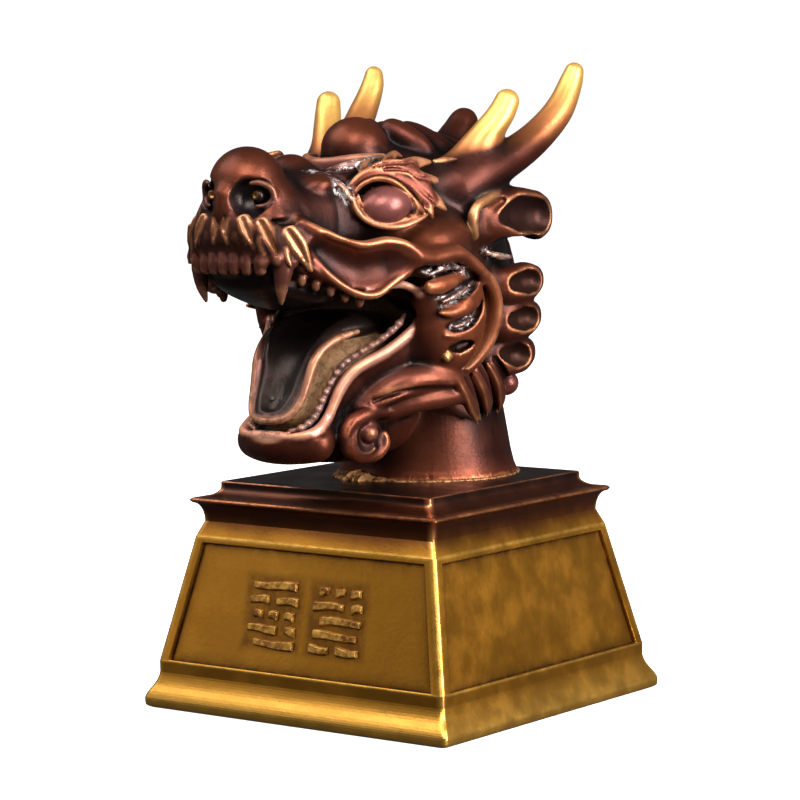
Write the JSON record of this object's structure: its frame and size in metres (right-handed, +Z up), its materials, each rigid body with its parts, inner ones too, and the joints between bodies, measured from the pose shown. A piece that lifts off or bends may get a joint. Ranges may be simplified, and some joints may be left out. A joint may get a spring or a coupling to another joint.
{
  "type": "chinese zodiac dragon head on plinth",
  "caption": "Cast dragon's head with open jaws, horns and scalloped mane, on a moulded square plinth with sunk panels and rows of raised strokes.",
  "frame": {"origin": "centre of the plinth's underside", "axes": "+Z up, -Y the way that the dragon and the panel with the strokes face, +X the dragon's own left side"},
  "size_m": [0.1, 0.1251, 0.1706],
  "materials": {
    "patinated_bronze": "dark red-brown patina, polished through to copper on the edges, gilt horn tips and mouth",
    "satin_gold": "satin gold lacquer, darkening to red-brown towards the top moulding"
  },
  "bodies": {
    "root": {"dragon_head": "patinated_bronze", "plinth": "satin_gold"}
  },
  "joints": []
}
